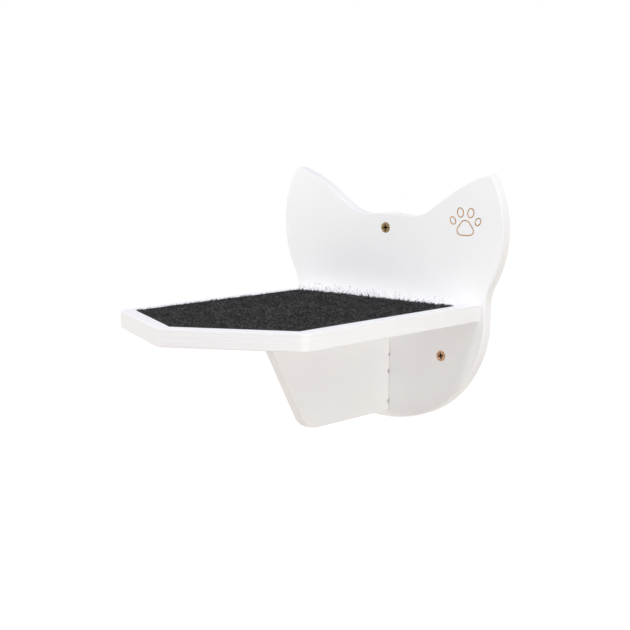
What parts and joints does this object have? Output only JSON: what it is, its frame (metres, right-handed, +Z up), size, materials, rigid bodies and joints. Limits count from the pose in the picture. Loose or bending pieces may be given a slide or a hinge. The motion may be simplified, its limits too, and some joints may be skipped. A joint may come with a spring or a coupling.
{
  "type": "wall-mounted cat step",
  "caption": "Wall-mounted wooden step for cats: a cat-head back panel carries a pointed tray with an inlaid felt pad and a sloping bracket below.",
  "frame": {"origin": "on the back panel's back face, in its middle, level with the top of the tray's rim", "axes": "+Z up, +Y into the wall, +X to the right of someone who faces the step"},
  "size_m": [0.306, 0.4332, 0.2842],
  "materials": {
    "white_paint": "plywood painted satin white",
    "charcoal_felt": "needled felt carpet, fuzzy",
    "brass_screw": "yellow passivated steel screw, satin",
    "zinc_screw": "bright zinc plate",
    "beech": "plain beech, fluted dowel"
  },
  "bodies": {
    "root": {"back_panel": "white_paint", "tray_board": "white_paint", "felt_pad": "charcoal_felt", "gusset": "white_paint", "wall_screw_top": "brass_screw", "wall_screw_left": "brass_screw", "wall_screw_right": "brass_screw", "tray_screw_left": "zinc_screw", "tray_screw_right": "zinc_screw", "gusset_screw_upper": "zinc_screw", "gusset_screw_lower": "zinc_screw", "deck_screw_rear": "zinc_screw", "deck_screw_front": "zinc_screw", "dowel_left": "beech", "dowel_right": "beech"}
  },
  "joints": []
}
